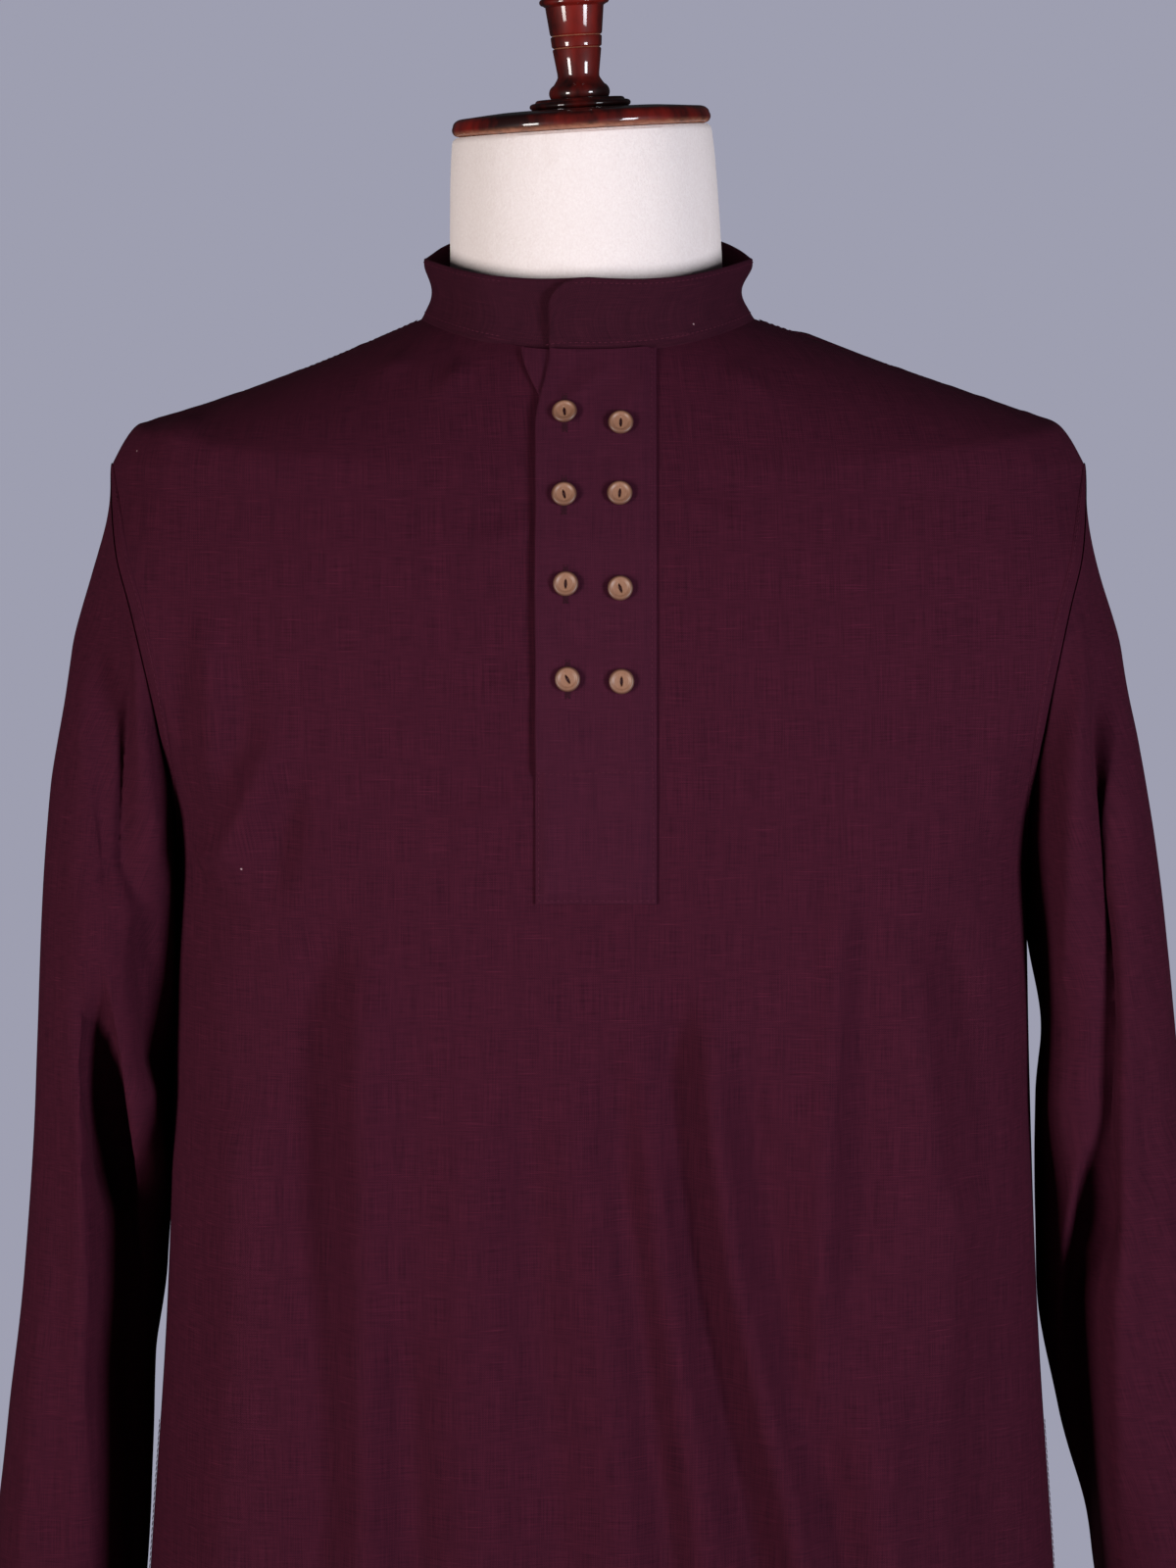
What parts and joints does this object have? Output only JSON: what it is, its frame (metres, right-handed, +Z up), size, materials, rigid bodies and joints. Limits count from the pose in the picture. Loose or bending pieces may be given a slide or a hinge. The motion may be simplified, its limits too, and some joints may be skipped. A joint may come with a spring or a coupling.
{
  "type": "kurta tunic on a dress form",
  "caption": "Long cotton kurta tunic with a stand collar and a buttoned half placket, worn by a padded dress form on a turned pole and foot.",
  "frame": {"origin": "centre of the foot's underside, on the floor", "axes": "+Z up, -Y the way the garment's front faces, +X to the right of someone who faces the front"},
  "size_m": [0.638, 0.38, 1.673],
  "materials": {
    "kurta_cotton": "matte, two-tone weave",
    "placket_cotton": "matte, pressed",
    "button_wood": "satin",
    "form_jersey": "matte, short nap",
    "form_wood": "gloss lacquer",
    "cap_wood": "gloss lacquer"
  },
  "bodies": {
    "root": {"kurta_front": "kurta_cotton", "kurta_back": "kurta_cotton", "sleeve_left": "kurta_cotton", "sleeve_right": "kurta_cotton", "collar": "placket_cotton", "placket_under": "placket_cotton", "placket_over": "placket_cotton", "button_a1": "button_wood", "button_a2": "button_wood", "button_a3": "button_wood", "button_a4": "button_wood", "button_b1": "button_wood", "button_b2": "button_wood", "button_b3": "button_wood", "button_b4": "button_wood", "form_torso": "form_jersey", "form_plate": "form_wood", "pole": "form_wood", "base": "form_wood", "neck_cap": "cap_wood", "finial": "cap_wood"}
  },
  "joints": []
}
